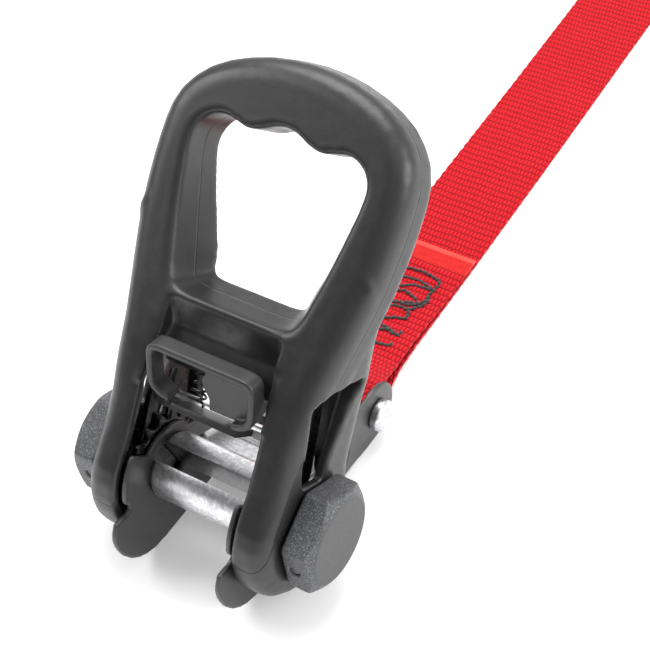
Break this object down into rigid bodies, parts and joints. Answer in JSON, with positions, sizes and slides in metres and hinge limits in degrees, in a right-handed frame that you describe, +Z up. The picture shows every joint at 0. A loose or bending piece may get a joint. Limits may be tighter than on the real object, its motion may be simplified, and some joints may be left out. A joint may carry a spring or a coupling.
{
  "type": "ratchet tie-down buckle",
  "caption": "Ratchet strap tensioner: folding D handle, slotted spindle with hexagonal knobs, steel side plates and a sewn webbing end with a hook.",
  "frame": {"origin": "centre of the bounding box of the buckle without its strap and hook, at the surface that the frame stands on", "axes": "+X along the spindle towards the right knob, +Y from the spindle towards the fixed strap, +Z up"},
  "size_m": [0.0894, 0.4665, 0.1392],
  "materials": {
    "frame_black": "semi-gloss black coated steel",
    "zinc": "bright zinc plated steel",
    "handle_plastic": "fine satin moulded black plastic",
    "knob_plastic": "coarse sparkled black plastic",
    "webbing": "red woven polyester",
    "thread": "black thread"
  },
  "bodies": {
    "base": {"base_frame": "frame_black", "rear_bolt": "zinc", "rear_sleeve": "zinc", "lock_pawl_spring": "zinc", "fixed_strap": "webbing", "strap_stitching": "thread", "far_stitching": "thread", "far_hook": "frame_black"},
    "lock_pawl": {"lock_pawl": "zinc"},
    "spindle": {"spindle_half_front": "zinc", "spindle_half_rear": "zinc", "ratchet_wheel_left": "zinc", "ratchet_wheel_right": "zinc", "knob_left": "knob_plastic", "knob_right": "knob_plastic", "knob_pin_left": "frame_black", "knob_pin_right": "frame_black"},
    "handle": {"handle_shell": "handle_plastic", "lever_left": "zinc", "lever_right": "zinc", "drive_spring_left": "zinc", "drive_spring_right": "zinc"},
    "drive_pawl": {"drive_pawl": "zinc", "pull_loop": "handle_plastic"}
  },
  "joints": [
    {"name": "handle_hinge", "type": "hinge", "parent": "base", "child": "handle", "pos_m": [0, -0.02588, 0.0281], "axis": [1, 0, 0], "range_deg": [-45, 45]},
    {"name": "spindle_turn", "type": "hinge", "parent": "base", "child": "spindle", "pos_m": [0, -0.02588, 0.0281], "axis": [1, 0, 0], "continuous": true},
    {"name": "drive_pawl_slide", "type": "slide", "parent": "handle", "child": "drive_pawl", "axis": [0, 0.6896, 0.7242], "range_m": [-0.0028, 0.0052], "stiffness_N_per_m": 600, "deforming": ["drive_spring_left", "drive_spring_right"]},
    {"name": "lock_pawl_slide", "type": "slide", "parent": "base", "child": "lock_pawl", "axis": [0, 0.9026, -0.4305], "range_m": [-0.0024, 0.004], "stiffness_N_per_m": 600, "deforming": ["lock_pawl_spring"]}
  ]
}
